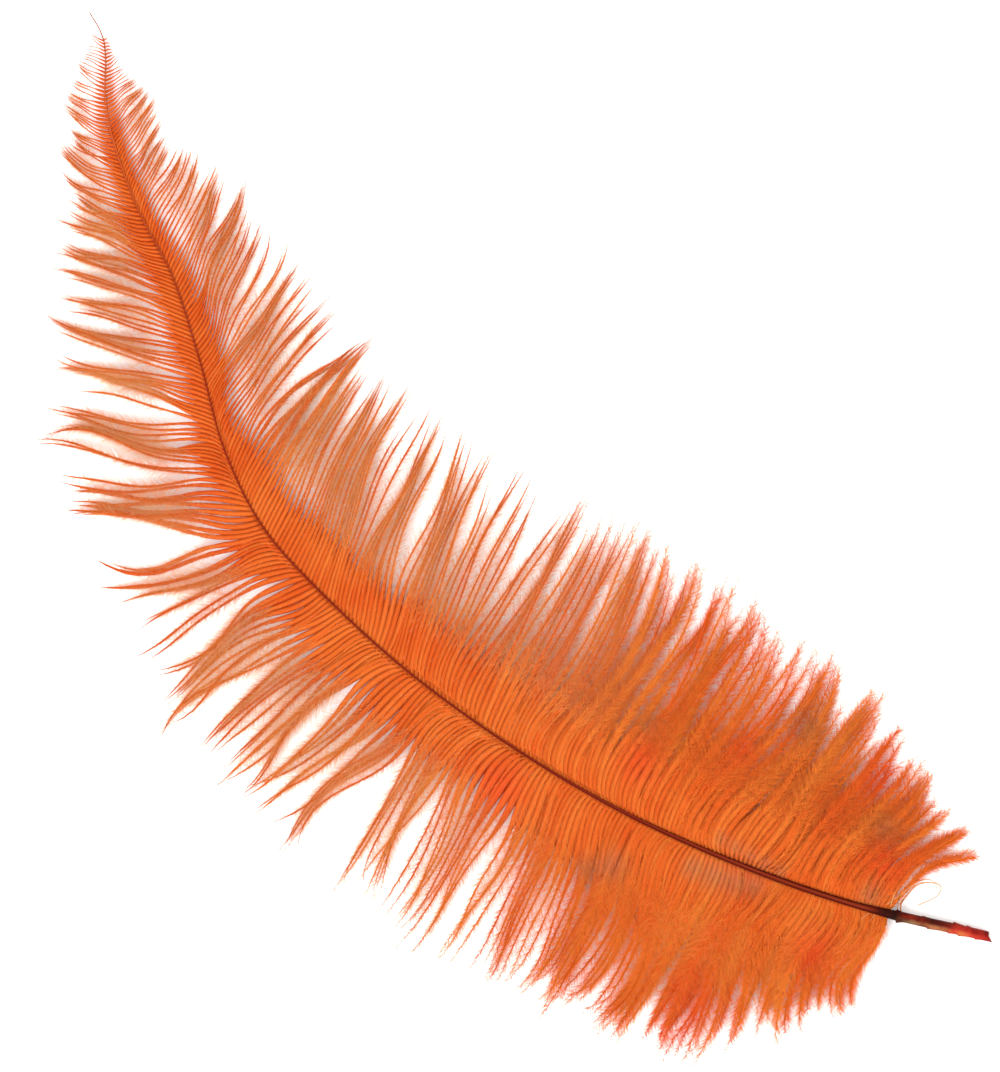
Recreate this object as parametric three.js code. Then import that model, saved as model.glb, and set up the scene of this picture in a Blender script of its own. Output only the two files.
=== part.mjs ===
// Ostrich plume lying on its underside: one curved shaft with a vane of soft barbs on each side.
// Millimetres, +Z up. +X runs from the cut quill end to the tip, +Y towards the side the shaft bows to.
// The origin is on the surface that the feather lies on, at the middle of its outline.
import * as THREE from 'three';

// Centre line of the shaft, from the middle of the cut end to the tip: x, y, height.
const SHAFT_LINE = [
  [0, 0, 1.6], [30, 19, 2.6], [60, 33.7, 3.8], [90, 45.1, 4.8], [120, 53, 5.5], [150, 58.1, 5.8],
  [180, 59.8, 5.7], [200, 58.7, 5.3], [220, 52.3, 4.7], [240, 41.4, 4.0], [260, 31.6, 3.3],
  [280, 25.4, 2.6], [300, 15.6, 1.9], [311, 5.6, 1.4], [316, 2.2, 1.2], [322, 0.6, 1.0],
];
// Width of the shaft at a distance along it, from the quill to the hair-thin tip.
const SHAFT_WIDTHS = [
  [0, 2.5], [8, 2.7], [24, 2.5], [29, 1.9], [35, 1.55], [60, 1.45], [92, 1.15], [112, 0.95],
  [142, 0.7], [165, 0.6], [215, 0.48], [270, 0.42], [325, 0.36], [349, 0.22],
];
const SHAFT_DEPTH = 1.1;        // depth of the shaft for each unit of its width
const SHAFT_SIDES = 10;
const SHAFT_STEPS = 72;
const CUT_SLANT = 1.3;          // how far the cut end leans over the quill's radius, longest on the left

// Outline of each vane: distance along the shaft where a barb is rooted, then x and y of its tip.
const LEFT_OUTLINE = [
  [24, 10, 36], [28, 13, 43], [37, 18, 56], [48, 29, 70], [62, 38, 80], [77, 50, 87], [94, 64, 93],
  [108, 78, 99], [117, 89, 104], [123, 98, 109], [131, 108, 114], [140, 119, 117], [147, 134, 114],
  [156, 148, 115], [170, 162, 118], [183, 180, 116], [195, 196, 109], [205, 216, 105],
  [213, 228, 97], [222, 246, 92], [231, 258, 88], [242, 266, 74], [254, 278, 63], [267, 285, 54],
  [281, 293, 43], [294, 301, 34], [308, 310, 23], [322, 316, 13], [334, 319, 6], [343, 320, 2.4],
];
const RIGHT_OUTLINE = [
  [24, 17, -12], [28, 23, -15], [40, 34, -16], [54, 47, -18], [68, 62, -20], [82, 78, -18.5],
  [100, 99, -16], [116, 115, -15], [132, 132, -11], [146, 150, -8], [154, 163, -2], [165, 176, 0],
  [180, 191, 3], [200, 209, 5], [215, 217, 5], [228, 228, 3.5], [240, 241, 2.5], [252, 256, 2],
  [265, 268, 1], [280, 280, 4], [295, 290, 5], [310, 301, 3], [322, 308, 2.2], [334, 313, 0.8],
];
// Angle between the shaft and a barb where it leaves: square at the quill, swept towards the tip.
const QUILL_EXIT = 95;
const PLUME_EXIT = 45;
const EXIT_CHANGE_START = 60;   // distances along the shaft between which the angle changes
const EXIT_CHANGE_END = 150;
const EXIT_REACH = 0.22;        // share of a barb's length over which it keeps that direction
const ROOT_GAP = 0.3;           // clear gap between the shaft's side and a vane
const ROOT_BELOW = 1.2;         // the vane's underside and top at its root, from the shaft's centre
const ROOT_ABOVE = 1.0;
const TOUCHDOWN = 0.35;         // share of a barb's length where the underside reaches the surface
const EDGE_THICKNESS = 1.4;     // thickness of a vane at the barb tips
const FLUFF = 0.9;              // extra loft of the barbs halfway out
const STEPS_PER_OUTLINE_POINT = 2;
const STEPS_ACROSS_VANE = 10;

const centreLine = new THREE.CatmullRomCurve3(
  SHAFT_LINE.map(([x, y, z]) => new THREE.Vector3(x, y, z)), false, 'catmullrom', 0.5);
centreLine.arcLengthDivisions = 1000;
const shaftLength = centreLine.getLength();

/** Value at a distance along the shaft, straight between the rows of [distance, value]. */
function tableValue(table, along) {
  const next = table.findIndex(([distance]) => distance >= along);
  if (next <= 0) {
    return next === 0 ? table[0][1] : table[table.length - 1][1];
  }
  const [d0, v0] = table[next - 1];
  const [d1, v1] = table[next];
  return THREE.MathUtils.mapLinear(along, d0, d1, v0, v1);
}

/** Centre, direction and level sideways direction (to the left) of the shaft at a distance along it. */
function shaftFrame(along) {
  const share = THREE.MathUtils.clamp(along / shaftLength, 0, 1);
  const centre = centreLine.getPointAt(share);
  const forward = centreLine.getTangentAt(share);
  const left = new THREE.Vector3(-forward.y, forward.x, 0).normalize();
  return { centre, forward, left };
}

/** A named mesh, with its normals worked out again after its vertices were placed. */
function namedMesh(name, geometry, material) {
  geometry.computeVertexNormals();
  const mesh = new THREE.Mesh(geometry, material);
  mesh.name = name;
  return mesh;
}

/** The quill and shaft: a cylinder bent along the centre line, tapered, with a slanting cut end. */
function makeShaft(material) {
  const geometry = new THREE.CylinderGeometry(1, 1, 1, SHAFT_SIDES, SHAFT_STEPS);
  const position = geometry.attributes.position;
  const point = new THREE.Vector3();
  for (let i = 0; i < position.count; i += 1) {
    point.fromBufferAttribute(position, i);
    const share = THREE.MathUtils.clamp(point.y + 0.5, 0, 1);
    const slant = share === 0 ? -CUT_SLANT * point.x : 0;
    const { centre, forward, left } = shaftFrame(share * shaftLength);
    const radius = tableValue(SHAFT_WIDTHS, share * shaftLength) / 2;
    const up = new THREE.Vector3().crossVectors(forward, left);
    const placed = centre.clone()
      .addScaledVector(left, point.x * radius)
      .addScaledVector(up, -point.z * radius * SHAFT_DEPTH)
      .addScaledVector(forward, slant);
    position.setXYZ(i, placed.x, placed.y, placed.z);
  }
  return namedMesh('shaft', geometry, material);
}

/** One barb of a vane's outline as a curve in plan: out along its exit angle, then over to its tip. */
function barbCurve([along, tipX, tipY], side) {
  const { centre, forward, left } = shaftFrame(along);
  const change = THREE.MathUtils.smoothstep(along, EXIT_CHANGE_START, EXIT_CHANGE_END);
  const exit = THREE.MathUtils.degToRad(THREE.MathUtils.lerp(QUILL_EXIT, PLUME_EXIT, change));
  const outward = left.clone().multiplyScalar(side);
  const clearance = tableValue(SHAFT_WIDTHS, along) / 2 + ROOT_GAP;
  const root = centre.clone().addScaledVector(outward, clearance).setZ(0);
  const tip = new THREE.Vector3(tipX, tipY, 0);
  const bend = root.clone()
    .addScaledVector(forward, Math.cos(exit) * EXIT_REACH * root.distanceTo(tip))
    .addScaledVector(outward, Math.sin(exit) * EXIT_REACH * root.distanceTo(tip))
    .setZ(0);
  return { curve: new THREE.QuadraticBezierCurve3(root, bend, tip), rootHeight: centre.z };
}

/** Outline row at a fractional row number, straight between its neighbours. */
function outlineRow(outline, row) {
  const low = Math.min(Math.floor(row), outline.length - 2);
  return outline[low].map((value, i) => THREE.MathUtils.lerp(value, outline[low + 1][i], row - low));
}

/** A vane: a box whose length follows the shaft and whose width follows the barbs out to their tips. */
function makeVane(name, outline, side, material) {
  const lastRow = outline.length - 1;
  const geometry = new THREE.BoxGeometry(
    1, 1, 1, lastRow * STEPS_PER_OUTLINE_POINT, STEPS_ACROSS_VANE, 1);
  const position = geometry.attributes.position;
  const point = new THREE.Vector3();
  for (let i = 0; i < position.count; i += 1) {
    point.fromBufferAttribute(position, i);
    const across = THREE.MathUtils.clamp(side * point.y + 0.5, 0, 1);
    const row = THREE.MathUtils.clamp(point.x + 0.5, 0, 1) * lastRow;
    const { curve, rootHeight } = barbCurve(outlineRow(outline, row), side);
    const placed = curve.getPoint(across);
    const underside = Math.max(0, (rootHeight - ROOT_BELOW) * (1 - across / TOUCHDOWN));
    const slope = THREE.MathUtils.lerp(rootHeight + ROOT_ABOVE, EDGE_THICKNESS, across);
    const top = slope + FLUFF * Math.sin(Math.PI * across);
    position.setXYZ(i, placed.x, placed.y, point.z > 0 ? top : underside);
  }
  return namedMesh(name, geometry, material);
}

const horn = new THREE.MeshStandardMaterial({ color: 0x6e2412, roughness: 0.45, metalness: 0 });
const dyedBarbs = new THREE.MeshStandardMaterial({ color: 0xe8601e, roughness: 0.85, metalness: 0 });

const feather = new THREE.Group();
feather.add(
  makeShaft(horn),
  makeVane('left_vane', LEFT_OUTLINE, 1, dyedBarbs),
  makeVane('right_vane', RIGHT_OUTLINE, -1, dyedBarbs),
);

// The origin goes under the middle of the feather's outline, on the surface.
const bounds = new THREE.Box3().setFromObject(feather);
const middle = bounds.getCenter(new THREE.Vector3());
feather.position.set(-middle.x, -middle.y, -bounds.min.z);

export default feather;
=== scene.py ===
"""A dyed ostrich plume lying on a pale table: horn shaft, barbs in wisps, and the down along each barb."""
import math

import bpy
import numpy as np
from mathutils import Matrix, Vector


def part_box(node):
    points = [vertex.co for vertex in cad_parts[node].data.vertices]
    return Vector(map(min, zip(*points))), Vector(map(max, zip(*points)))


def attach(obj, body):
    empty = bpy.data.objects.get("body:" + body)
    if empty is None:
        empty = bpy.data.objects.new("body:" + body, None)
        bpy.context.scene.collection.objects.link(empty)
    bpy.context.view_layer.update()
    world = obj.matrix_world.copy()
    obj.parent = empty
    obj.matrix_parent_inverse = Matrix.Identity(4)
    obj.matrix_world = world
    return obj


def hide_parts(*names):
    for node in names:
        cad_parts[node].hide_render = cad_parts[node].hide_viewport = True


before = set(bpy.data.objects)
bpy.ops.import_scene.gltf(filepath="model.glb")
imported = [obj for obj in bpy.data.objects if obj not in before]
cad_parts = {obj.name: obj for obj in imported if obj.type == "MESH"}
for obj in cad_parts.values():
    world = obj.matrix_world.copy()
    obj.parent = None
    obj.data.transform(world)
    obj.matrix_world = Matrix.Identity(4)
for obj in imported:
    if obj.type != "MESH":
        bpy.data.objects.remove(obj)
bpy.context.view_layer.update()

# Lengths below are millimetres in the feather's own frame: x from the cut quill end to the tip,
# y towards the side the shaft bows to (the left vane), z up from the table.
MM = 0.001
LEFT_VANE_LOW_X = 10.0          # lowest x of the left vane's outline
LEFT_VANE_HIGH_Y = 118.0        # highest y of the left vane's outline
vane_low, vane_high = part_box("left_vane")
PLACE = np.array([vane_low.x / MM - LEFT_VANE_LOW_X, vane_high.y / MM - LEFT_VANE_HIGH_Y, 0.0])

# Centre line of the shaft: x, y, height.
SHAFT_LINE = np.array([
    [0, 0, 1.6], [30, 19, 2.6], [60, 33.7, 3.8], [90, 45.1, 4.8], [120, 53, 5.5], [150, 58.1, 5.8],
    [180, 59.8, 5.7], [200, 58.7, 5.3], [220, 52.3, 4.7], [240, 41.4, 4.0], [260, 31.6, 3.3],
    [280, 25.4, 2.6], [300, 15.6, 1.9], [311, 5.6, 1.4], [316, 2.2, 1.2], [322, 0.6, 1.0],
])
# Width of the shaft by distance along it.
SHAFT_WIDTHS = np.array([
    [0, 2.5], [8, 2.7], [24, 2.5], [29, 1.9], [35, 1.55], [60, 1.35], [92, 0.95], [112, 0.72],
    [142, 0.54], [165, 0.46], [215, 0.38], [270, 0.36], [325, 0.42], [349, 0.3],
])
SHAFT_DEPTH = 1.1

# Wisps of each vane, from the quill to the tip: x on the shaft where the wisp is rooted, x and y of
# its tip, and the heading of its last stretch in degrees from +x.
LEFT_WISPS = np.array([
    [22, 10, 36, 140], [24, 12, 41, 135], [27, 17, 43, 125], [30, 19, 48, 125], [34, 18, 55.5, 140],
    [38, 23, 60, 130], [43, 28, 68, 120], [47, 31.5, 76.5, 115], [52, 37, 77.5, 112],
    [56, 40, 79.5, 108], [62, 45, 82, 103], [67, 49.5, 86, 98], [71, 52, 87, 95], [76, 58.5, 88, 86],
    [80, 62, 89, 84], [83, 63.5, 94, 108], [87, 68, 91, 76], [92, 73, 94, 80], [96, 75.5, 96.5, 100],
    [99, 79, 97.5, 105], [102, 81.5, 100.5, 102], [105, 88, 104, 98], [108, 92.5, 104, 92],
    [111, 97.3, 109, 93], [113, 98.5, 104, 92], [114.5, 102.5, 105, 80], [116, 105.5, 107, 80],
    [118, 108.3, 115, 86], [121, 109.5, 110, 104], [124, 117, 113.5, 93], [127, 107, 111, 135],
    [129, 113, 106.5, 142], [131, 118.4, 124, 96], [132.5, 119.5, 111, 125], [134.5, 134, 113, 116],
    [137, 137.5, 113, 106], [139, 139.3, 115.3, 103], [142, 148.5, 114, 64], [144, 150, 113, 60],
    [146, 153.5, 116.5, 52], [148.5, 157.5, 110.5, 46], [151, 152, 117, 108], [153, 156.7, 114.5, 94],
    [155.5, 161.5, 113, 62], [158, 161.7, 119, 96], [161, 163.7, 114, 84], [164, 168, 113.5, 66],
    [166.5, 170, 114, 94], [169, 174, 113.7, 62], [172, 179.5, 118, 98], [174.5, 182, 112, 56],
    [177, 185.3, 110.7, 82], [180, 189.4, 111, 94], [182, 194, 107, 50], [184.5, 199.3, 108.5, 90],
    [187.5, 203, 106.5, 88], [190, 213.3, 105, 56], [192.5, 217.5, 105, 50], [195, 220.3, 99, 22],
    [197, 225.5, 94.5, 24], [200, 239.5, 94, 36], [203, 241, 93, 44], [206, 242, 90, 38],
    [209, 249.5, 89, 30], [212.5, 258.5, 90.5, 38], [216, 253.5, 84, 44], [219.1, 257.2, 81.6, 12],
    [222.2, 260.2, 78, 24], [225.3, 263.3, 73.3, 38], [228.4, 264, 70.5, 34], [231.5, 269.3, 69, 30],
    [234.6, 274, 65, 6], [237.7, 278, 62, 0], [240.8, 274, 60, 14], [243.9, 277.5, 58, 18],
    [247, 280, 56.5, 28], [250.2, 283, 53.5, 38], [254.5, 286.5, 49.5, 28], [258.7, 287, 47.5, 38],
    [261.9, 288.3, 44.5, 20], [265, 293, 43, 34], [268.8, 291, 39, 10], [275, 295, 35, -4],
    [279.5, 300, 33, -8], [284, 304.5, 28.5, -14], [290, 303.5, 25, 8], [294.5, 309.5, 22, -14],
    [300, 312, 19.5, -5], [303.5, 313, 16, -22], [306.5, 315.5, 13, -10], [309, 317, 10, -14],
    [311.5, 318.5, 6.5, -14], [313.5, 319, 4, -10], [318.5, 321.5, 2.2, -8],
])
RIGHT_WISPS = np.array([
    [22, 17, -12.5, -112], [23, 22, -14, -105], [25, 26, -15.5, -98], [28, 31, -15, -94],
    [32, 36, -15.5, -90], [36, 41, -18, -88], [40, 46, -17, -86], [44, 51, -18.5, -84],
    [47, 55, -19.5, -80], [50, 60, -20.5, -80], [54, 66.5, -20, -72], [58, 71, -18.5, -68],
    [62, 76, -18, -66], [66, 80, -18, -66], [70, 84.5, -18, -64], [73, 88, -15.5, -64],
    [76, 92, -16, -62], [80, 98.5, -14.5, -62], [84, 103, -13, -66], [88, 107, -17, -60],
    [92, 112, -13.5, -70], [96, 117, -12.5, -62], [100, 121.5, -14, -58], [104, 126, -10, -64],
    [108, 130, -9.5, -64], [112, 133.5, -11, -62], [116, 138, -8, -64], [121, 143.5, -9, -60],
    [126, 147, -6, -66], [130, 151, -8, -60], [133, 152, -4, -66], [136, 160, -4, -66],
    [139, 164, -1.5, -62], [144, 172.5, -2, -66], [148, 175, 0, -72], [152, 178, 1, -74],
    [155, 182, 1.5, -60], [160, 188, 3.5, -78], [165, 189.5, 3.5, -86], [168, 192, 3.5, -68],
    [172, 197, 0, -84], [176, 199, 5.5, -80], [180, 203, 7, -82], [184, 205, 6, -78],
    [188.5, 207.5, 6.5, -74], [193, 210, 6, -78], [198, 212.5, 7, -86], [202, 214.2, 4.8, -90],
    [205.5, 215, 5.2, -93], [208.5, 215.4, 6.2, -94],
    [211, 216.6, 7.6, -94], [215, 222.5, 6.5, -92], [218, 226.5, 3.5, -84], [221, 230, 3, -90],
    [224, 234.5, 2, -78], [226.5, 237, 4, -86], [229, 240, 3, -80], [231.5, 243, 3, -70],
    [234.5, 252, 2, -30], [237.8, 254, 4, -46], [241, 258, 3, -48], [244.8, 261, 6, -50],
    [248, 265, 3, -56], [250.8, 265, 0, -46], [254, 267, 3, -58], [258.3, 271, 5, -52],
    [261.5, 273, 2, -54], [265.8, 277, 5, -46], [269, 279.5, 4.5, -48], [273.5, 282, 6, -54],
    [278, 285.5, 7.5, -62], [282.5, 288, 8, -72], [287, 291, 5, -66], [292, 296, 3, -66],
    [297, 298, 2.8, -70], [299.5, 299.8, 2.9, -72], [303, 302, 3.5, -75], [306, 304.5, 3, -75],
    [308.5, 307, 2.2, -72], [311.5, 310.5, 1.5, -68], [314, 313.8, 0.8, -60], [318.5, 319.5, -0.2, -50],
])


def curve_through(points, steps):
    """Catmull-Rom curve: between two points, a cubic whose slope at each is half the step across it."""
    padded = np.vstack([2 * points[0] - points[1], points, 2 * points[-1] - points[-2]])
    t = np.linspace(0, 1, steps, endpoint=False)[None, :, None]
    a, b, c, d = (padded[i:i + len(points) - 1, None] for i in range(4))
    stretch = 0.5 * (2 * b + (c - a) * t + (2 * a - 5 * b + 4 * c - d) * t**2
                     + (3 * b - a - 3 * c + d) * t**3)
    return np.vstack([stretch.reshape(-1, points.shape[1]), points[-1:]])


LINE = curve_through(SHAFT_LINE, 40)
ALONG = np.concatenate([[0], np.cumsum(np.linalg.norm(np.diff(LINE, axis=0), axis=1))])
SHAFT_LENGTH = ALONG[-1]
HEADING = np.gradient(LINE, ALONG, axis=0)


def columns(x, xs, table):
    """Each column of a table read at x, straight between its rows."""
    return np.stack([np.interp(x, xs, column) for column in table.T], axis=-1)


def unit(vectors):
    """The vectors at length one."""
    return vectors / np.maximum(np.linalg.norm(vectors, axis=-1, keepdims=True), 1e-9)


def shaft_frame(along):
    """Centre, direction, level left side and half width of the shaft at distances along it."""
    centre = columns(along, ALONG, LINE)
    forward = unit(columns(along, ALONG, HEADING))
    left = unit(np.stack([-forward[..., 1], forward[..., 0], 0 * forward[..., 0]], axis=-1))
    half = np.interp(along, SHAFT_WIDTHS[:, 0], SHAFT_WIDTHS[:, 1]) / 2
    return centre, forward, left, half


def smoothstep(low, high, x):
    """Rises from 0 at low to 1 at high with level ends: 3t^2 - 2t^3."""
    t = np.clip((x - low) / (high - low), 0, 1)
    return t * t * (3 - 2 * t)


# ---------------------------------------------------------------- barbs

LEFT, RIGHT = 1, -1             # the side of the shaft that a vane is on, as a sign of y
BARB_STEPS = 22
FIRST_BARB = 24.5               # distance along the shaft of the first barb
BARE_TIP = 7                    # length of bare shaft beyond the last barb
DOWNY_TO_OPEN = (90, 150)       # distances along over which the vanes turn from downy to open
STRAND_BREAK = 0.55             # the chance that a barb starts a new strand
ROOT_DEPTH = 0.2                # how far below the shaft's centre line a barb is rooted
LOWEST_BARB = 0.25              # height of the lowest barbs above the table
LOWEST_SHAFT = 0.15             # height of the shaft's lowest corners above the table
EXIT_ANGLES = {      # angle from the shaft's direction at which a barb leaves it, by distance along
    LEFT: np.array([[24, 100], [60, 84], [120, 66], [160, 48], [250, 42], [300, 46], [325, 52], [349, 50]]),
    RIGHT: np.array([[24, 92], [60, 70], [120, 60], [160, 60], [200, 52], [230, 36], [260, 28],
                     [310, 28], [330, 42], [349, 55]]),
}
PITCHES = np.array([[24, 0.85], [60, 1.1], [130, 1.25], [240, 1.3], [310, 1.15], [349, 0.8]])
# Barbs keep together in strands of two or three: how far, and the shares of their length over which
# they come together. Strands are then drawn into wisps, further out.
STRANDS = np.array([
    # along, tightness, from, to
    [24, 0.2, 0.35, 1.0], [110, 0.25, 0.3, 0.9], [150, 0.45, 0.25, 0.8], [220, 0.45, 0.2, 0.7],
    [300, 0.4, 0.15, 0.7], [349, 0.2, 0.15, 0.7],
])
WISPS = {
    # along, tightness, from, to
    LEFT: np.array([[24, 0.25, 0.5, 1.0], [90, 0.3, 0.35, 1.0], [140, 0.6, 0.15, 0.95],
                    [260, 0.75, 0.1, 0.85], [300, 0.6, 0.15, 0.9], [325, 0.4, 0.2, 1.0],
                    [349, 0.1, 0.2, 1.0]]),
    RIGHT: np.array([[24, 0.15, 0.6, 1.0], [100, 0.2, 0.5, 1.0], [150, 0.25, 0.4, 1.0],
                     [212, 0.25, 0.4, 1.0], [216, 0.9, 0.25, 0.8], [225, 0.9, 0.25, 0.8],
                     [229, 0.3, 0.4, 1.0], [300, 0.45, 0.3, 1.0], [349, 0.1, 0.2, 1.0]]),
}
FULLNESS = {         # how much fuller than its neighbours a wisp is, by x of its root
    LEFT: np.array([[0, 1], [192, 1], [196, 1.8], [206, 1.8], [210, 1]]),
    RIGHT: np.array([[0, 1], [200, 1], [203, 1.8], [212, 1.8], [215, 1]]),
}
# Sideways bends of wisps and of strands, as shares of their span, at one, two, three and four half waves.
BENDS = {LEFT: np.array([0.042, 0.036, 0.02, 0.01]), RIGHT: np.array([0.02, 0.018, 0.013, 0.008])}
VEER = {LEFT: 0.045, RIGHT: 0.03}       # how far a strand's end swings aside, as a share of its span
SHORT_TIP = {LEFT: 0.75, RIGHT: 0.45}   # the last barbs before the bare point, as a share of full length
OPENNESS = {         # how far out a vane's web and down hold, against the other tables, by distance along
    LEFT: np.array([[75, 1], [110, 0.8], [135, 0.85], [165, 1.2], [290, 1.2], [320, 1]]),
    RIGHT: np.array([[24, 1], [349, 1]]),
}
# The web, barbules laid so close that they read as a strip: distance out at which it starts, half its
# width there, the distances out over which it narrows, and half its width beyond them.
WEB = np.array([
    # along, start, half width, narrowing from, to, outer half width
    [24, -1, 0.4, 6, 20, 0.2],
    [32, -1, 0.9, 9, 32, 0.26],
    [48, -1, 1.25, 12, 40, 0.26],
    [55, 2.2, 1.25, 12, 40, 0.26],
    [75, 2.2, 1.25, 12, 40, 0.26],
    [80, -1, 1.25, 12, 40, 0.26],
    [110, -1, 1.2, 10, 36, 0.26],
    [145, -1, 1.0, 8, 28, 0.26],
    [180, -1, 0.85, 6, 20, 0.25],
    [215, -1, 0.72, 4, 14, 0.25],
    [240, -1, 0.62, 2.5, 10, 0.24],
    [300, -1, 0.5, 1.2, 7, 0.2],
    [325, -1, 0.38, 0.8, 4, 0.14],
    [336, -1, 0.22, 0.4, 2.5, 0.1],
    [349, -1, 0.12, 0.3, 2, 0.07],
])


def barb_roots():
    """Distances along the shaft where barbs are rooted: a running sum of the local spacing."""
    grid = np.linspace(FIRST_BARB, SHAFT_LENGTH - BARE_TIP, 4000)
    count = np.concatenate([[0], np.cumsum(np.diff(grid) / np.interp(grid[1:], *PITCHES.T))])
    return np.interp(np.arange(int(count[-1])), count, grid)


def swept_paths(along, side, tips, headings, t):
    """Cubic curves from the shaft to the tips, level: out at the exit angle, in along the heading."""
    centre, forward, left, half = shaft_frame(along)
    outward = left * side
    angle = np.radians(np.interp(along, *EXIT_ANGLES[side].T))[:, None]
    root = centre + outward * half[:, None] * 0.3
    root[:, 2] = 0
    reach = np.linalg.norm(tips - root, axis=1, keepdims=True)
    leave = unit((forward * np.cos(angle) + outward * np.sin(angle)) * [1, 1, 0])
    turn = np.radians(headings)
    arrive = np.stack([np.cos(turn), np.sin(turn), 0 * turn], axis=-1)
    lead = root + leave * np.minimum(0.3 * reach, 9.0)
    hook = tips - arrive * reach * 0.36
    t = t[None, :, None]
    p0, p1, p2, p3 = (p[:, None] for p in (root, lead, hook, tips))
    return p0 * (1 - t)**3 + 3 * p1 * t * (1 - t)**2 + 3 * p2 * t**2 * (1 - t) + p3 * t**3


def waves(draws, sizes, t):
    """Shares of a span at t: the sum over k of draw_k * size_k * sin(k pi t), k = 1, 2, ..."""
    k = np.arange(1, draws.shape[1] + 1)[:, None]
    return (draws * sizes) @ np.sin(k * np.pi * t[None, :])


def sideways(path, shares):
    """The paths moved level and crosswise by shares of their spans."""
    span = np.linalg.norm(path[:, -1] - path[:, 0], axis=1)[:, None]
    across = unit(np.cross(np.gradient(path, axis=1), [0, 0, 1.0]))
    return path + across * (shares * span)[..., None]


def grow_barbs(side, wisps, rng):
    """Paths of every barb of one vane, (barbs, steps, 3): its own curve, its strand's, then its wisp's."""
    along = barb_roots()
    count = len(along)
    wisp_along = np.interp(wisps[:, 0], LINE[:, 0], ALONG)
    place = np.interp(along, wisp_along, np.arange(len(wisps)))
    t = np.linspace(0, 1, BARB_STEPS)

    def natural(places):
        """Curves to tips between those of the neighbouring wisps."""
        own = columns(places, np.arange(len(wisps)), wisps)
        tips = np.column_stack([own[:, 1:3], 0 * places])
        return swept_paths(np.interp(places, np.arange(len(wisps)), wisp_along), side, tips, own[:, 3], t)

    strand = np.cumsum(rng.uniform(size=count) < STRAND_BREAK)
    strand_place = np.bincount(strand, place) / np.maximum(np.bincount(strand), 1)
    strands = natural(strand_place)
    downy = (1 - smoothstep(*DOWNY_TO_OPEN, np.interp(strand_place, place, along)))[:, None]
    bend = waves(rng.normal(0, 1, (len(strands), 4)), BENDS[side] * (1 - 0.4 * downy), t)
    bend = bend + rng.normal(0, 1, (len(strands), 1)) * t**2 * VEER[side]
    strands = sideways(strands, bend)[strand]

    nearest = np.round(strand_place + rng.normal(0, 0.3, len(strand_place)))
    nearest = nearest.clip(0, len(wisps) - 1).astype(int)[strand]
    loose = smoothstep(70, 150, wisp_along)[:, None]
    bend = waves(rng.normal(0, 1, (len(wisps), 4)), BENDS[side] * loose, t)
    wisp_paths = sideways(natural(np.arange(len(wisps))), bend)[nearest]

    # A slow swell that neighbours share, changing over every third wisp.
    coarse = np.arange(0, len(wisps) + 3, 3)
    swell = columns(place, coarse, rng.normal(0, 1, (len(coarse), 3)))
    path = sideways(natural(place), waves(swell, np.array([0.03, 0.024, 0.012]), t))
    for targets, table in ((strands, STRANDS), (wisp_paths, WISPS[side])):
        tightness, turning, joined = columns(along, table[:, 0], table[:, 1:]).T[:, :, None]
        tightness = (tightness * rng.uniform(0.7, 1.2, (count, 1))).clip(0, 1)
        path = path + (targets - path) * (smoothstep(turning, joined, t) * tightness)[..., None]

    # Each barb stops short of, or a little past, its wisp's tip, and bends gently on the way.
    share = (rng.beta(5, 1.4, count) * 0.3 + 0.75) * np.interp(along, [325, 343], [1, SHORT_TIP[side]])
    steps = t[None, :] * share[:, None] * (BARB_STEPS - 1)
    low = steps.astype(int).clip(0, BARB_STEPS - 2)
    part = (steps - low)[..., None]
    rows = np.arange(count)[:, None]
    path = path[rows, low] * (1 - part) + path[rows, low + 1] * part
    quill_ward = (1 - smoothstep(*DOWNY_TO_OPEN, along))[:, None]
    wave = np.sin(t * rng.uniform(7, 14, (count, 1)) + rng.uniform(0, 2 * np.pi, (count, 1)))
    wave = wave * (0.007 + 0.005 * quill_ward)
    path = sideways(path, wave * t + rng.normal(0, 1, (count, 1)) * (0.014 + 0.036 * quill_ward) * t**2)

    # Height: from the shaft over a soft arch down to the table.
    centre = shaft_frame(along)[0]
    shared = np.interp(place, np.arange(len(wisps)), rng.uniform(0.7, 1, len(wisps)))
    loft = (shared + rng.uniform(-0.06, 0.06, count)) * np.interp(
        along, [24, 60, 130, 250, 349], [4, 5, 3, 2, 1])
    layer = np.interp(place, np.arange(len(wisps)), rng.uniform(0.6, 1, len(wisps)))
    settle = layer * np.interp(along, [24, 100, 349], [1.4, 1.4, 0.6])
    scatter = rng.uniform(-0.35, 0.35, count)[:, None] * smoothstep(0.45, 1.0, t)
    arch = (t**1.5 * (1 - t)**1.6 * 4)[None, :] * loft[:, None]
    descent = (centre[:, 2:] - ROOT_DEPTH) * (1 - t)[None, :]**1.4
    height = descent + arch + settle[:, None] * smoothstep(0, 0.4, t)
    path[..., 2] = np.maximum(height + scatter, LOWEST_BARB)
    return along, path


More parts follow.
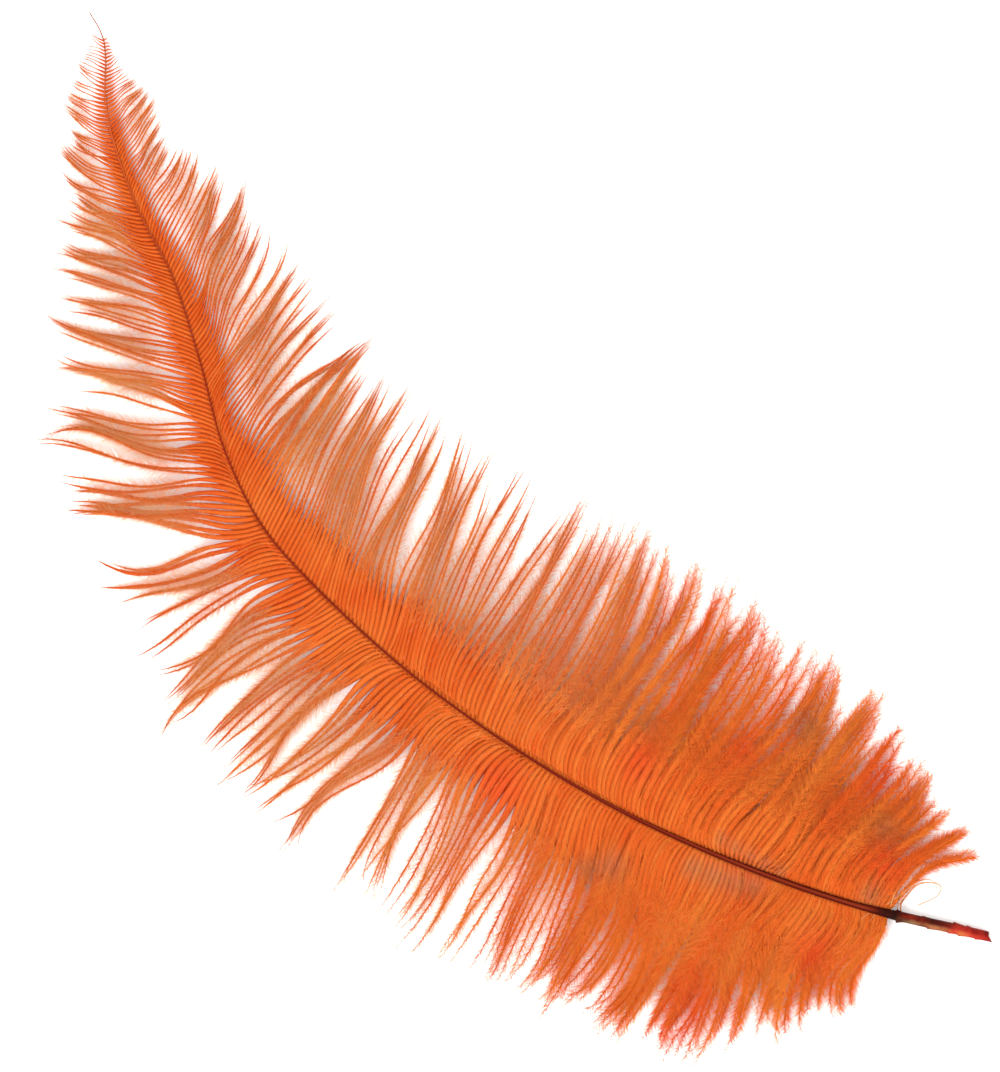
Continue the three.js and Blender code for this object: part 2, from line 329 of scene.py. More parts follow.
def prisms(path, out, up):
    """Closed three-sided bars along the paths, their corners out to the side and up, pointed at the end."""
    count, steps = path.shape[:2]
    forward = unit(np.gradient(path, axis=1))
    level = unit(np.cross(forward, [0, 0, 1.0]))
    upward = np.cross(level, forward)
    shell = path[:, :, None] + level[:, :, None] * out[..., None] + upward[:, :, None] * up[..., None]
    verts = np.concatenate([shell[:, :-1].reshape(count, -1, 3), path[:, -1:]], axis=1)
    step = np.arange(steps - 2)[:, None] * 3
    a = np.arange(3)[None, :]
    b = (a + 1) % 3
    sides = np.stack([step + a, step + b, step + 3 + b, step + a, step + 3 + b, step + 3 + a], -1)
    apex = (steps - 1) * 3
    last = (steps - 2) * 3
    cap = np.array([[last, last + 1, apex], [last + 1, last + 2, apex], [last + 2, last, apex], [2, 1, 0]])
    return verts, np.vstack([sides.reshape(-1, 3), cap])


def round_bars(path, radius, lift):
    """Three-sided bars of a radius at each step, their corners at 90, 210 and 330 degrees, raised by lift."""
    turn = np.radians([90, 210, 330])
    return prisms(path, radius[..., None] * np.cos(turn), radius[..., None] * np.sin(turn) + lift)


def run_along(path):
    """Length of the paths from their roots to each step."""
    lengths = np.linalg.norm(np.diff(path, axis=1), axis=2)
    return np.concatenate([np.zeros((len(path), 1)), np.cumsum(lengths, axis=1)], axis=1)


def barb_tubes(along, path):
    """The barbs' own stems: r = R (1 - 0.7 t^0.8), R by distance along."""
    t = np.linspace(0, 1, path.shape[1])[None, :]
    radius = np.interp(along, [24, 130, 349], [0.15, 0.16, 0.12])[:, None] * (1 - 0.7 * t**0.8)
    return round_bars(path, radius, 0.1)


def web_strips(along, path, side, fullness, rng):
    """The webs: flat strips along the barbs, tilted so that each lies over the next one towards the quill."""
    run = run_along(path)
    t = np.linspace(0, 1, path.shape[1])[None, :]
    start, full, narrow, narrowed, outer = columns(along, WEB[:, 0], WEB[:, 1:]).T[:, :, None]
    if side == LEFT:
        start = start * 0 - 1       # only the right vane's web starts clear of the shaft
    openness = np.interp(along, *OPENNESS[side].T)[:, None]
    narrow = narrow * openness
    narrowed = narrowed * openness
    outer = outer * openness
    narrowing = smoothstep(0, 1, (run - narrow) / (narrowed - narrow))
    half = full * (1 - narrowing) + outer * fullness[:, None] * narrowing
    uneven = 1 + 0.16 * np.sin(run * 0.9 + rng.uniform(0, 6.3, (len(along), 1))) * narrowing
    half = half * uneven * (0.5 + 0.5 * smoothstep(-0.5, 0.5, run - start)) * (1 - smoothstep(0.72, 0.97, t))
    tilt = half * 0.07 * side
    out = np.stack([half * 0, -half, half], axis=-1)
    up = np.stack([half * 0 + 0.02, -tilt - 0.03, tilt - 0.03], axis=-1)
    return prisms(path, out, up)


def spikes(root, tip, width, roll):
    """Thin closed spikes from root to tip: a three-cornered foot and a point, four faces each."""
    forward = unit(tip - root)
    level = unit(np.cross(forward, [0, 0, 1.0]) + 1e-6)
    upward = np.cross(level, forward)
    flat = level * np.cos(roll)[:, None] + upward * np.sin(roll)[:, None]
    thick = np.cross(flat, forward)
    half = width[:, None] / 2
    foot = [root + flat * half, root - flat * half, root + thick * half * 0.5]
    verts = np.stack([*foot, tip], axis=1)
    faces = np.array([[0, 1, 2], [1, 0, 3], [2, 1, 3], [0, 2, 3]])
    return verts, faces


# Down along the barbs, by distance along the shaft. The near columns hold beside the shaft and the far
# ones further out: barbules on a millimetre of barb, their length, width, and sweep from the barb.
DOWN = np.array([
    # along, near: rate, length, width, sweep; far: rate, length, width, sweep
    [24, 7, 3.5, 0.15, 24, 14, 5.8, 0.14, 34],
    [60, 6, 3.2, 0.12, 20, 15, 6.0, 0.13, 36],
    [110, 5, 2.8, 0.11, 16, 15, 5.9, 0.115, 37],
    [135, 3, 2.4, 0.1, 18, 14, 5.8, 0.1, 37],
    [155, 1, 2.0, 0.09, 20, 13, 5.4, 0.08, 38],
    [240, 1, 1.6, 0.08, 24, 13, 4.7, 0.07, 38],
    [300, 1, 1.4, 0.08, 25, 11, 3.5, 0.065, 38],
    [349, 1, 1.1, 0.07, 28, 9, 2.2, 0.055, 36],
])
# Distances out from the shaft over which the down changes to its far kind, how much nearer they are
# at the tip, and the distances along over which they draw nearer.
DENSE_BAND = (8.0, 19.0)
TIP_DRAW = (6, 11)
TIP_DRAW_ALONG = (215, 330)


def down_along(side, along, path, rng):
    """Roots, tips and places of the barbules of the given barbs, swept forward on both hands of a barb."""
    count, steps = path.shape[:2]
    run = run_along(path)
    lengths = np.diff(run, axis=1)
    kinds = columns(along, DOWN[:, 0], DOWN[:, 1:])
    tipward = smoothstep(*TIP_DRAW_ALONG, along)[:, None]
    band = (edge - draw * tipward for edge, draw in zip(DENSE_BAND, TIP_DRAW))
    far = smoothstep(*band, run)
    thinning = np.interp(along, *OPENNESS[side].T)
    rate = kinds[:, None, 0] * (1 - far) + kinds[:, None, 4] * far * thinning[:, None]
    t = np.linspace(0, 1, steps)
    bare = np.interp(along, [24, 110, 160, 349], [1.05, 1.05, 0.93, 0.97])
    rate = rate * (1 - smoothstep(bare[:, None] - 0.25, bare[:, None], t[None, :]))
    load = np.cumsum((rate[:, 1:] + rate[:, :-1]) / 2 * lengths, axis=1)
    totals = np.floor(load[:, -1]).astype(int)
    barb = np.repeat(np.arange(count), totals)
    first = np.cumsum(totals) - totals
    order = np.arange(totals.sum()) - first[barb] + rng.uniform(0, 1, totals.sum())
    load = np.concatenate([np.zeros((count, 1)), load], axis=1)
    step = (load[barb] <= order[:, None]).sum(axis=1).clip(1, steps - 1) - 1
    part = (order - load[barb, step]) / np.maximum(load[barb, step + 1] - load[barb, step], 1e-6)
    part = part.clip(0, 1)
    place = (step + part) / (steps - 1)
    start = path[barb, step] * (1 - part)[:, None] + path[barb, step + 1] * part[:, None]
    kind = far[barb, step] * (1 - part) + far[barb, step + 1] * part
    reach, width, sweep = (
        kinds[barb, i] * (1 - kind) + kinds[barb, i + 4] * kind for i in (1, 2, 3))
    reach = reach * (1 - kind * (1 - thinning[barb]))
    forward = unit(path[barb, step + 1] - path[barb, step])
    level = unit(np.cross(forward, [0, 0, 1.0]))
    upward = np.cross(level, forward)
    hand = np.where(rng.uniform(size=len(barb)) < 0.5, 1.0, -1.0)
    sweep = np.radians(sweep * rng.normal(1, 0.35, len(barb)))
    lift = np.radians(rng.normal(4, 9, len(barb)))
    out = level * (hand * np.cos(lift))[:, None] + upward * np.sin(lift)[:, None]
    aim = forward * np.cos(sweep)[:, None] + out * np.sin(sweep)[:, None]
    taper = (1 - 0.5 * smoothstep(0.35, 1.0, place)) * np.interp(place, [0, 0.05], [0.6, 1])
    share = 0.3 + 0.8 * rng.uniform(0, 1, len(barb))**np.interp(along, DOWNY_TO_OPEN, [0.8, 1.6])[barb]
    end = start + aim * (reach * taper * share)[:, None]
    end[:, 2] = np.maximum(end[:, 2], rng.uniform(0.1, 0.5, len(barb)))
    return barb, place, hand, share, start, end, width * rng.uniform(0.7, 1.2, len(barb))


def fill_mesh(name, verts, triangles, floats):
    """A mesh object from arrays: corners in millimetres, triangles, and named numbers on the corners."""
    mesh = bpy.data.meshes.new(name)
    mesh.vertices.add(len(verts))
    mesh.vertices.foreach_set("co", ((verts + PLACE) * MM).astype(np.float32).ravel())
    mesh.loops.add(triangles.size)
    mesh.loops.foreach_set("vertex_index", triangles.astype(np.int32).ravel())
    mesh.polygons.add(len(triangles))
    mesh.polygons.foreach_set("loop_start", np.arange(0, triangles.size, 3, dtype=np.int32))
    mesh.update(calc_edges=True)
    for key, values in floats.items():
        layer = mesh.attributes.new(key, "FLOAT", "POINT")
        layer.data.foreach_set("value", values.astype(np.float32))
    obj = bpy.data.objects.new(name, mesh)
    bpy.context.scene.collection.objects.link(obj)
    return obj


def bake_map(obj, u, v, triangles):
    """The piece's own flat map: each barb is a strip, its down to both sides of it."""
    layer = obj.data.uv_layers.new(name="OFBake")
    corners = np.stack([u, v], axis=-1)[triangles.ravel()]
    layer.data.foreach_set("uv", corners.astype(np.float32).ravel())


# Patches of redder dye, and painted shade: greyish-brown spots where thin down lets the table's shadow show
# through. Each row: x and y of the middle, and the radius.
RED_PATCHES = np.array([[28, 34, 7], [38, 64, 9], [31, 5, 6], [36, 76, 6], [112, 62, 7], [92, 32, 7],
                        [47, -8, 6], [76, 12, 5]])
SEE_THROUGH_SHADE_PATCHES = np.array([[50, 33, 2.6], [54, 36, 3], [59, 38.5, 3.2], [64, 41, 2.6], [78, 55, 3.5],
                         [82, 60, 3.0], [37.5, 0, 3], [97, 24, 2.5], [70, -4, 4], [28, 14, 3],
                         [48, 26, 1.6], [52, 27.4, 1.7], [56, 28.7, 1.7], [60, 29.9, 1.7], [64, 31, 1.6]])


def patches(points, spots):
    """Soft round patches: the sum of exp(-(distance / radius)^2) over the spots, at most one."""
    apart = np.linalg.norm(points[:, None, :2] - spots[None, :, :2], axis=-1)
    return np.exp(-(apart / spots[:, 2])**2).sum(axis=1).clip(0, 1)


def vane_stretch(name, node, side, along, path, rng, material):
    """One stretch of a vane as one mesh: stems and webs of its barbs, and their barbules as spikes."""
    count, steps = path.shape[:2]
    root_x = columns(along, ALONG, LINE)[:, 0]
    fullness = np.interp(root_x, *FULLNESS[side].T)
    stems, bar_faces = barb_tubes(along, path)
    webs = web_strips(along, path, side, fullness, rng)[0]
    corners = stems.shape[1]
    barb, place, hand, share, start, end, width = down_along(side, along, path, rng)
    down, down_faces = spikes(start, end, width, rng.uniform(-0.35, 0.35, len(barb)))

    first_web = count * corners
    first_down = first_web * 2
    every = np.arange(count)[:, None, None] * corners
    spike = first_down + np.arange(len(barb))[:, None, None] * 4
    verts = np.vstack([stems.reshape(-1, 3), webs.reshape(-1, 3), down.reshape(-1, 3)])
    faces = np.vstack([(bar_faces + every).reshape(-1, 3), (bar_faces + every + first_web).reshape(-1, 3),
                       (down_faces + spike).reshape(-1, 3)])

    # Corner values: how far along its barb, how far out from the barb's line, the barb's own tone.
    bar_t = np.append(np.repeat(np.linspace(0, 1, steps)[:-1], 3), 1.0)
    web_across = np.append(np.tile([0.15, 1.0, 1.0], steps - 1), 0.5)
    place_values = np.concatenate([np.tile(bar_t, 2 * count), np.repeat(place, 4)])
    across = np.concatenate([np.zeros(first_web), np.tile(web_across, count),
                             np.tile([0.3, 0.3, 0.3, 1.0], len(barb))])
    open_down = smoothstep(95, 155, along)[barb]
    airy = np.column_stack([0.4 + 0.1 * open_down] * 3 + [0.5 + 0.5 * open_down * share.clip(0, 1)])
    haze = np.concatenate([np.zeros(first_down), airy.ravel()])
    tone = rng.uniform(0, 1, count)
    tones = np.concatenate([np.tile(np.repeat(tone, corners), 2), np.repeat(tone[barb], 4)])
    # The red values are dye; the grey values are painted shade, greyish brown where thin down lets the
    # table's shadow show through.
    obj = fill_mesh(name, verts, faces, {
        "along": place_values, "across": across, "tone": tones, "haze": haze,
        "red": patches(verts, RED_PATCHES), "grey_and_shade": patches(verts, SEE_THROUGH_SHADE_PATCHES)})

    stem_shift = np.append(np.tile([0.0, -0.04, 0.04], steps - 1), 0.0)
    web_shift = np.append(np.tile([0.0, -0.42, 0.42], steps - 1), 0.0)
    spike_shift = hand[:, None] * np.array([0.1, 0.14, 0.12, 0.42])
    barb_middle = np.arange(count)[:, None] + 0.5
    u = np.concatenate([(barb_middle + stem_shift).ravel(), (barb_middle + web_shift).ravel(),
                        (barb[:, None] + 0.5 + spike_shift).ravel()]) / count
    bake_map(obj, u, place_values * 0.98 + 0.01, faces)
    obj.data.materials.append(material)
    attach(obj, "root")
    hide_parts(node)
    return obj


# Single barbs that stand free beside the quill: their points, how pale they are, and their thickness.
LOOSE_BARBS = [
    ([[21.3, 10.5, 2.2], [21.9, 3.9, 3.4], [19.4, 0.65, 3.2], [17.3, -0.1, 2.4], [16.2, 2.4, 1.4],
      [17.9, 7.7, 0.6]], 0.62, 0.42),
    ([[22.4, 11.4, 2.2], [22.8, 5.5, 3.6], [21.4, 1.4, 3.0], [18.6, 0.2, 2.2], [17.4, 1.6, 1.6]], 0.6, 0.34),
    ([[22.6, 12.2, 2.4], [24.4, 8.7, 3.2], [24.6, 4.3, 3.4], [23.4, 0.6, 2.6]], 0.8, 0.3),
    ([[23.5, 12.5, 2.4], [23.0, 8.5, 3.2], [22.6, 5.0, 3.8], [20.8, 2.2, 3.0]], 0.8, 0.28),
    ([[19.6, 11.6, 2.2], [21.1, 10.2, 3.2], [21.6, 8.6, 3.6]], 0.0, 0.45),
    ([[20.4, 12.0, 2.2], [21.4, 10.9, 3.0], [22.6, 9.6, 3.4], [23.0, 8.2, 3.2]], 0.0, 0.3),
    ([[24.0, 15.6, 2.2], [23.2, 19.5, 2.6], [21.0, 23.5, 2.0], [20.2, 27.5, 1.2]], 0.9, 0.2),
    ([[25.0, 16.2, 2.2], [25.2, 20.5, 2.8], [23.4, 25.5, 2.2], [21.8, 31.0, 1.2]], 0.8, 0.2),
]


def loose_barbs(material):
    """Free barbs by the quill, each a thin tapering bar along its own curve."""
    parts = []
    for points, pale, thickness in LOOSE_BARBS:
        path = curve_through(np.array(points, float), 8)[None]
        t = np.linspace(0, 1, path.shape[1])[None, :]
        radius = thickness / 2 * (1 - 0.4 * t)
        verts, faces = round_bars(path, radius, 0.0)
        parts.append((verts[0], faces, pale))
    first = np.cumsum([0] + [len(verts) for verts, _, _ in parts])
    verts = np.vstack([part[0] for part in parts])
    faces = np.vstack([part[1] + start for part, start in zip(parts, first)])
    pale = np.concatenate([np.full(len(part[0]), part[2]) for part in parts])
    obj = fill_mesh("loose_barbs", verts, faces, {
        "along": 1 - pale, "across": pale * 0, "tone": pale * 0 + 0.5, "haze": pale, "red": pale * 0,
        "grey_and_shade": np.where(pale > 0, 0.4, 0.0)})
    bake_map(obj, verts[:, 0] / 40, verts[:, 1] / 40 + 0.1, faces)
    obj.data.materials.append(material)
    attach(obj, "root")
    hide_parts("right_vane")
    return obj


# ---------------------------------------------------------------- shaft

QUILL_END = 32.0                # distance along at which the quill's look ends
QUILL_FADE_START = 28.0         # distance along at which it starts to give way to the rachis's
SHAFT_RAMP_END = 349.0          # distance along at which the shaft's colours end

# Ragged flakes standing off the quill: distance along, length, angle round it, how far they stand off.
FLAKES = np.array([
    [3.4, 2.2, 15, 0.3], [7.6, 2.6, 25, 0.4], [10.2, 1.6, 0, 0.2], [15.6, 3.6, 5, 0.3], [23.6, 2.4, 10, 0.7],
    [5.8, 1.8, 190, 0.25], [9.4, 3.0, 175, 0.4], [17.2, 2.4, 185, 0.2], [24.0, 2.0, 165, 0.5],
    [6.6, 2.4, 80, 0.2], [12.0, 2.6, 115, 0.2], [17.0, 3.0, 70, 0.25], [24.8, 1.8, 95, 0.4],
])


def horn_shaft(material):
    """The shaft: rings of a rounded section carried along the centre line, with a groove on top.

    Half width h(s), less the groove h * 0.28 exp(-(a / 0.35)^2), plus each flake's
    stand-off * ramp(s) * exp(-(turn / 0.5)^2), where ramp climbs along the flake and drops at its end.
    """
    rachis = np.linspace(QUILL_END, SHAFT_LENGTH - 0.01, 300)
    along = np.concatenate([np.linspace(0, QUILL_END, 150), rachis[1:]])
    steps = len(along)
    sides = 28
    centre, forward, left, half = shaft_frame(along)
    upward = np.cross(forward, left)
    turn = np.linspace(0, 2 * np.pi, sides, endpoint=False)[None, :]
    groove = np.exp(-((turn - np.pi / 2) / 0.35)**2) * smoothstep(28, 45, along)[:, None]
    groove = groove * (1 - smoothstep(150, 220, along))[:, None]
    reach = half[:, None] * (1 - 0.28 * groove)
    for flake_along, length, angle, stand in FLAKES:
        climb = (along - flake_along + length) / length
        climb = np.where((climb > 0) & (climb < 1), climb**1.5, 0)[:, None]
        apart = (turn - np.radians(angle) + np.pi) % (2 * np.pi) - np.pi
        reach = reach + stand * climb * np.exp(-(apart / 0.5)**2)
    across = np.cos(turn) * reach
    height = np.sin(turn) * reach * SHAFT_DEPTH
    slant = np.where(along[:, None] < 1e-6, -np.cos(turn) * 1.3, 0)
    verts = (centre[:, None] + left[:, None] * across[..., None] + upward[:, None] * height[..., None]
             + forward[:, None] * slant[..., None])
    ends = np.stack([centre[0] + forward[0] * 0.9, centre[-1] + forward[-1] * 0.1])
    verts = np.vstack([verts.reshape(-1, 3), ends])
    verts[:, 2] = np.maximum(verts[:, 2], LOWEST_SHAFT)
    i = np.arange(steps - 1)[:, None] * sides
    j = np.arange(sides)[None, :]
    k = (j + 1) % sides
    quads = np.stack([i + j, i + k, i + sides + k, i + j, i + sides + k, i + sides + j], -1)
    start = np.stack([k[0], j[0], np.full(sides, steps * sides)], -1)
    last = (steps - 1) * sides
    finish = np.stack([last + j[0], last + k[0], np.full(sides, steps * sides + 1)], -1)
    faces = np.vstack([quads.reshape(-1, 3), start, finish])
    flow = np.concatenate([np.repeat(along, sides), [0, SHAFT_LENGTH]])
    leftward = np.concatenate([np.tile(np.cos(turn[0]), steps), [0, 0]])
    obj = fill_mesh("horn_shaft", verts, faces, {"flow": flow, "leftward": leftward})
    obj.data.shade_smooth()
    obj.data.materials.append(material)
    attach(obj, "root")
    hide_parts("shaft")
    return obj


# ---------------------------------------------------------------- materials

def new_material(name):
    """An empty node material and its output."""
    material = bpy.data.materials.new(name)
    material.use_nodes = True
    nodes = material.node_tree.nodes
    nodes.clear()
    output = nodes.new("ShaderNodeOutputMaterial")
    return material, nodes, material.node_tree.links, output


def ramp(nodes, stops):
    """A colour ramp with the given (position, colour) stops."""
    node = nodes.new("ShaderNodeValToRGB")
    elements = node.color_ramp.elements
    while len(elements) < len(stops):
        elements.new(0.5)
    for element, (position, colour) in zip(elements, stops):
        element.position = position
        element.color = (*colour, 1)
    return node


def attribute(nodes, name):
    """The number that the piece carries under a name."""
    node = nodes.new("ShaderNodeAttribute")
    node.attribute_name = name
    return node.outputs["Fac"]


def mixed(nodes, links, factor, first, second, blend="MIX"):
    """A colour mix; factor, first and second are sockets or constants."""
    node = nodes.new("ShaderNodeMix")
    node.data_type = "RGBA"
    node.blend_type = blend
    sockets = [s for s in node.inputs if s.enabled]
    for socket, value in zip(sockets, (factor, first, second)):
        if isinstance(value, bpy.types.NodeSocket):
            links.new(value, socket)
        else:
            socket.default_value = value
    return next(s for s in node.outputs if s.enabled)


def remapped(nodes, links, value, low, high):
    """The value's place between low and high, held to 0 and 1."""
    node = nodes.new("ShaderNodeMapRange")
    node.inputs["From Min"].default_value = low
    node.inputs["From Max"].default_value = high
    links.new(value, node.inputs["Value"])
    return node.outputs["Result"]


def ramped(nodes, links, value, stops):
    """The colour of a ramp at a value."""
    node = ramp(nodes, stops)
    links.new(value, node.inputs["Fac"])
    return node.outputs["Color"]


def blotch_group():
    """Shared group: soft blotches over the piece, the noise of its own coordinates between two levels."""
    group = bpy.data.node_groups.new("blotches", "ShaderNodeTree")
    for name in ("Scale", "Low", "High"):
        group.interface.new_socket(name, in_out="INPUT", socket_type="NodeSocketFloat")
    group.interface.new_socket("Mask", in_out="OUTPUT", socket_type="NodeSocketFloat")
    nodes = group.nodes
    source = nodes.new("NodeGroupInput")
    sink = nodes.new("NodeGroupOutput")
    place = nodes.new("ShaderNodeTexCoord")
    noise = nodes.new("ShaderNodeTexNoise")
    noise.inputs["Detail"].default_value = 3.0
    level = nodes.new("ShaderNodeMapRange")
    group.links.new(place.outputs["Object"], noise.inputs["Vector"])
    group.links.new(source.outputs["Scale"], noise.inputs["Scale"])
    group.links.new(noise.outputs["Fac"], level.inputs["Value"])
    group.links.new(source.outputs["Low"], level.inputs["From Min"])
    group.links.new(source.outputs["High"], level.inputs["From Max"])
    group.links.new(level.outputs["Result"], sink.inputs["Mask"])
    return group


BLOTCHES = blotch_group()


def blotches(nodes, scale, low, high):
    """The shared blotch mask at a scale, from 0 at the low noise level to 1 at the high one."""
    node = nodes.new("ShaderNodeGroup")
    node.node_tree = BLOTCHES
    node.inputs["Scale"].default_value = scale
    node.inputs["Low"].default_value = low
    node.inputs["High"].default_value = high
    return node.outputs["Mask"]


def down_material():
    """Dyed barbs and down: each barb its own orange, stems darker towards their tips, down paler. Painted in
    as well: greyish-brown shade where thin down shows the table's shadow, and golden stems as a painted
    highlight.
    """
    material, nodes, links, output = new_material("dyed_barbs")
    tone = attribute(nodes, "tone")
    web = ramped(nodes, links, tone, [
        (0.0, (0.76, 0.12, 0.015)), (0.5, (0.79, 0.142, 0.019)), (1.0, (0.82, 0.17, 0.025))])
    down = ramped(nodes, links, tone, [
        (0.0, (1.0, 0.2, 0.02)), (0.5, (1.0, 0.28, 0.03)), (1.0, (1.0, 0.38, 0.05))])
    stem = ramped(nodes, links, attribute(nodes, "along"), [
        (0.0, (0.86, 0.19, 0.025)), (0.3, (0.8, 0.18, 0.022)),
        (0.7, (0.68, 0.16, 0.02)), (1.0, (0.38, 0.1, 0.025))])
    # Painted highlight: golden stems on the barbs of higher tone, the glint along single barbs laid on at
    # random as colour.
    stem_glint = remapped(nodes, links, tone, 0.45, 1.3)
    stem = mixed(nodes, links, stem_glint, stem, (0.95, 0.36, 0.07, 1))
    off_stem = remapped(nodes, links, attribute(nodes, "across"), 0.1, 0.3)
    bars = mixed(nodes, links, off_stem, stem, web)
    haze = attribute(nodes, "haze")
    colour = mixed(nodes, links, remapped(nodes, links, haze, 0.2, 0.4), bars, down)
    colour = mixed(nodes, links, remapped(nodes, links, haze, 0.42, 0.85), colour, (0.92, 0.7, 0.38, 1))
    deep = mixed(nodes, links, 0.14, colour, (0.78, 0.075, 0.015, 1))
    golden = mixed(nodes, links, 0.2, colour, (0.95, 0.34, 0.06, 1))
    colour = mixed(nodes, links, blotches(nodes, 70.0, 0.38, 0.62), deep, golden)
    red = remapped(nodes, links, attribute(nodes, "red"), 0.1, 2.0)
    colour = mixed(nodes, links, red, colour, (0.92, 0.08, 0.025, 1))
    # Painted shade: mixed towards greyish brown where thin down lets the table's shadow show through; on the
    # pale loose barbs a slight grey tint.
    grey_and_shade = remapped(nodes, links, attribute(nodes, "grey_and_shade"), 0.0, 2.6)
    colour = mixed(nodes, links, grey_and_shade, colour, (0.5, 0.25, 0.14, 1))
    surface = nodes.new("ShaderNodeBsdfPrincipled")
    surface.inputs["Roughness"].default_value = 0.85
    surface.inputs["Specular IOR Level"].default_value = 0.08
    links.new(colour, surface.inputs["Base Color"])
    through = nodes.new("ShaderNodeBsdfTranslucent")
    links.new(colour, through.inputs["Color"])
    blend = nodes.new("ShaderNodeMixShader")
    blend.inputs["Fac"].default_value = 0.5
    links.new(surface.outputs["BSDF"], blend.inputs[1])
    links.new(through.outputs["BSDF"], blend.inputs[2])
    links.new(blend.outputs["Shader"], output.inputs["Surface"])
    return material


def horn_material():
    """Horn of the quill and shaft: a dark line and a lighter one side by side; the quill end redder, with a
    painted highlight on its left side.
    """
    material, nodes, links, output = new_material("shaft_horn")
    flow = attribute(nodes, "flow")
    leftward = remapped(nodes, links, attribute(nodes, "leftward"), -1.0, 1.0)
    along_shaft = remapped(nodes, links, flow, 0.0, SHAFT_RAMP_END)
    along_quill = remapped(nodes, links, flow, 0.0, QUILL_END)
    dark = ramped(nodes, links, along_shaft, [
        (0.0, (0.05, 0.005, 0.003)), (0.09, (0.06, 0.004, 0.001)), (0.3, (0.08, 0.004, 0.001)),
        (0.5, (0.11, 0.007, 0.002)), (0.8, (0.2, 0.016, 0.004)), (0.93, (0.4, 0.06, 0.01)),
        (1.0, (0.2, 0.05, 0.02))])
    light = ramped(nodes, links, along_shaft, [
        (0.09, (0.14, 0.016, 0.004)), (0.4, (0.16, 0.013, 0.003)), (0.7, (0.22, 0.018, 0.005)),
        (0.93, (0.5, 0.09, 0.018)), (1.0, (0.26, 0.07, 0.025))])
    near_band = ramped(nodes, links, leftward, [
        (0.15, (0, 0, 0)), (0.35, (1, 1, 1)), (0.6, (1, 1, 1)), (0.72, (0, 0, 0))])
    far_band = ramped(nodes, links, leftward, [
        (0.05, (0, 0, 0)), (0.15, (1, 1, 1)), (0.4, (1, 1, 1)), (0.5, (0, 0, 0))])
    band = mixed(nodes, links, remapped(nodes, links, flow, 60.0, 85.0), near_band, far_band)
    shaft = mixed(nodes, links, band, dark, light)
    uneven = blotches(nodes, 420.0, 0.45, 0.62)
    right_side = ramped(nodes, links, along_quill, [
        (0.0, (0.2, 0.008, 0.006)), (0.12, (0.3, 0.014, 0.01)), (0.26, (0.28, 0.018, 0.01)),
        (0.33, (0.1, 0.008, 0.004)), (0.46, (0.035, 0.004, 0.002)), (0.54, (0.11, 0.01, 0.004)),
        (0.66, (0.16, 0.014, 0.005)), (0.74, (0.02, 0.003, 0.001)), (0.84, (0.02, 0.003, 0.001)),
        (0.92, (0.08, 0.006, 0.002))])
    # Painted highlight: the orange stop at 0.22, about 7 mm from the cut end on the quill's left side.
    left_side = ramped(nodes, links, along_quill, [
        (0.0, (0.32, 0.012, 0.01)), (0.14, (0.42, 0.035, 0.016)), (0.22, (0.4, 0.1, 0.03)),
        (0.28, (0.36, 0.025, 0.012)), (0.36, (0.3, 0.1, 0.04)), (0.5, (0.22, 0.075, 0.03)),
        (0.62, (0.15, 0.08, 0.035)), (0.7, (0.08, 0.025, 0.01)), (0.76, (0.012, 0.002, 0.001)),
        (0.9, (0.05, 0.004, 0.001))])
    lower = remapped(nodes, links, attribute(nodes, "leftward"), -0.1, 0.45)
    body = mixed(nodes, links, lower, right_side, left_side)
    quill = mixed(nodes, links, uneven, body, (0.55, 0.4, 0.4, 1), "MULTIPLY")
    rim = ramped(nodes, links, leftward, [
        (0.1, (1, 1, 1)), (0.38, (0, 0, 0)), (0.88, (0, 0, 0)), (0.98, (1, 1, 1))])
    rim_from = remapped(nodes, links, flow, 2.0, 9.0)
    rim = mixed(nodes, links, rim_from, (0.25, 0.25, 0.25, 1), rim, "MULTIPLY")
    quill = mixed(nodes, links, rim, quill, (0.045, 0.004, 0.002, 1))
    colour = mixed(nodes, links, remapped(nodes, links, flow, QUILL_FADE_START, QUILL_END), quill, shaft)
    surface = nodes.new("ShaderNodeBsdfPrincipled")
    surface.inputs["Roughness"].default_value = 0.55
    surface.inputs["Specular IOR Level"].default_value = 0.04
    links.new(colour, surface.inputs["Base Color"])
    links.new(surface.outputs["BSDF"], output.inputs["Surface"])
    return material


def table_material():
    """The plain white table top."""
    material, nodes, links, output = new_material("table_top")
    surface = nodes.new("ShaderNodeBsdfPrincipled")
    surface.inputs["Base Color"].default_value = (0.93, 0.925, 0.92, 1)
    surface.inputs["Roughness"].default_value = 0.9
    links.new(surface.outputs["BSDF"], output.inputs["Surface"])
    return material


# ---------------------------------------------------------------- camera, lights and table

VIEW_MIDDLE = (156.7, 18.0)     # middle of the view, in the feather's frame
VIEW_HEIGHT = 268.0             # length of the view's taller side
VIEW_TURN = -134.1              # the feather's chord runs up and to the left in the view
CAMERA_HEIGHT = 1200.0
SENSOR = 36.0

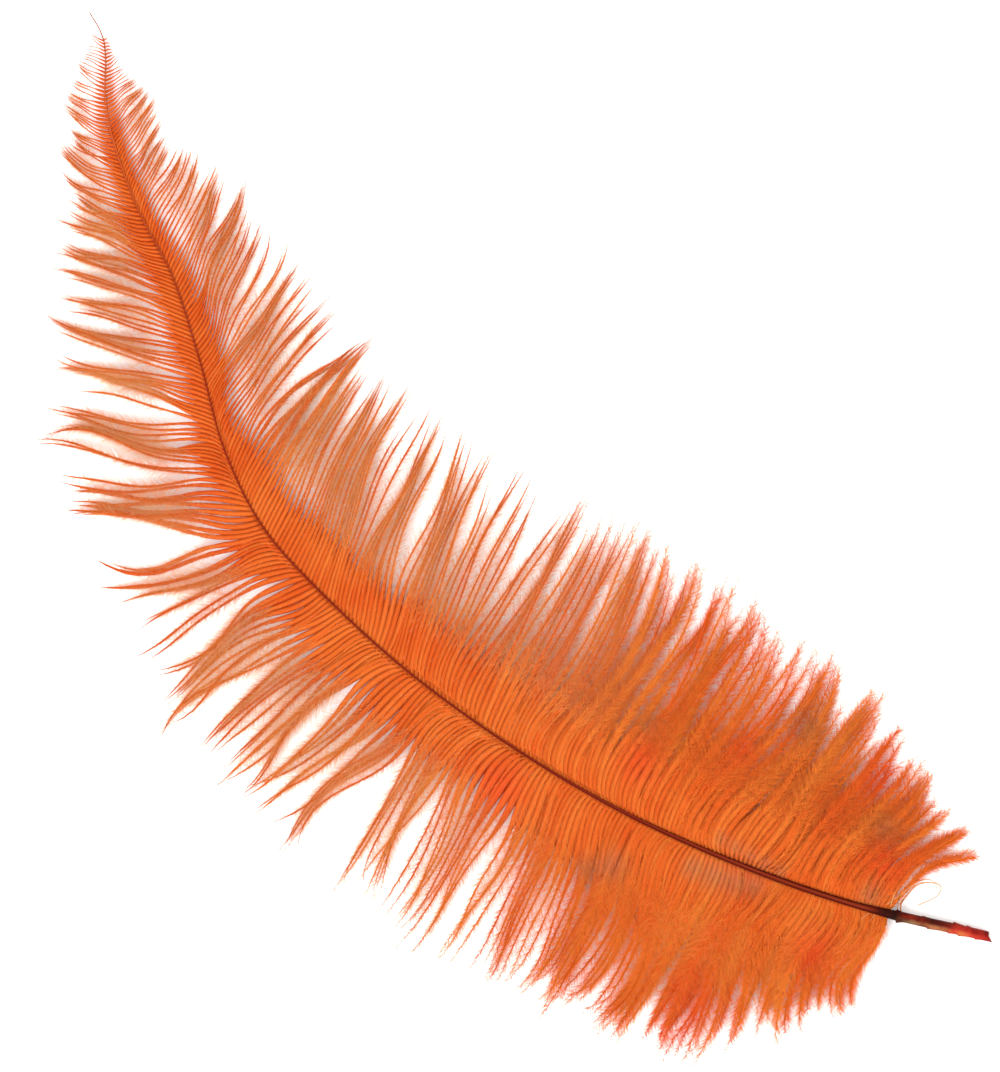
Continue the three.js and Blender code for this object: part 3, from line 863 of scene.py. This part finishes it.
camera = bpy.data.cameras.new("camera")
camera.sensor_width = SENSOR
camera.lens = CAMERA_HEIGHT * SENSOR / VIEW_HEIGHT
camera.clip_end = 50
camera_object = bpy.data.objects.new("camera", camera)
bpy.context.scene.collection.objects.link(camera_object)
look_at = (np.array([*VIEW_MIDDLE, 0]) + PLACE) * MM
camera_object.location = (look_at[0], look_at[1], CAMERA_HEIGHT * MM)
camera_object.rotation_euler = (0, 0, math.radians(VIEW_TURN))
bpy.context.scene.camera = camera_object

bpy.context.scene.view_settings.view_transform = "Standard"
world = bpy.data.worlds.new("studio")
bpy.context.scene.world = world
world.use_nodes = True
background = world.node_tree.nodes["Background"]
background.inputs["Color"].default_value = (1.0, 0.985, 0.965, 1)
background.inputs["Strength"].default_value = 1.55


def softbox(name, position, size, power, colour):
    """A square area light at a position in metres, facing the feather."""
    light = bpy.data.lights.new(name, "AREA")
    light.size = size
    light.energy = power
    light.color = colour
    obj = bpy.data.objects.new(name, light)
    bpy.context.scene.collection.objects.link(obj)
    obj.location = position
    aim = -np.array(position)
    obj.rotation_euler = (
        math.atan2(math.hypot(aim[0], aim[1]), -aim[2]), 0, math.atan2(aim[0], -aim[1]) + math.pi)
    return obj


softbox("key_softbox", (0.1, 1.1, 1.3), 0.7, 26, (1.0, 1.0, 1.0))

table = bpy.data.meshes.new("table_top")
HALF_TABLE = 2.0
table.from_pydata([(-HALF_TABLE, -HALF_TABLE, 0), (HALF_TABLE, -HALF_TABLE, 0),
                   (HALF_TABLE, HALF_TABLE, 0), (-HALF_TABLE, HALF_TABLE, 0)], [], [(0, 1, 2, 3)])
table_object = bpy.data.objects.new("table_top", table)
bpy.context.scene.collection.objects.link(table_object)
table.materials.append(table_material())

# ---------------------------------------------------------------- the feather

barbs_finish = down_material()
# Stretches of a vane, each a piece of its own: name, and where it starts and ends along the shaft.
ZONES = [("quill_end", 0, 72), ("lower", 72, 125), ("middle", 125, 215), ("tip", 215, 400)]
for side, side_name, wisps, seed in ((LEFT, "left", LEFT_WISPS, 11), (RIGHT, "right", RIGHT_WISPS, 23)):
    rng = np.random.default_rng(seed)
    along, path = grow_barbs(side, wisps, rng)
    for zone, low, high in ZONES:
        inside = (along >= low) & (along < high)
        vane_stretch(f"{side_name}_barbs_{zone}", f"{side_name}_vane", side, along[inside], path[inside],
                     rng, barbs_finish)
loose_barbs(barbs_finish)
horn_shaft(horn_material())
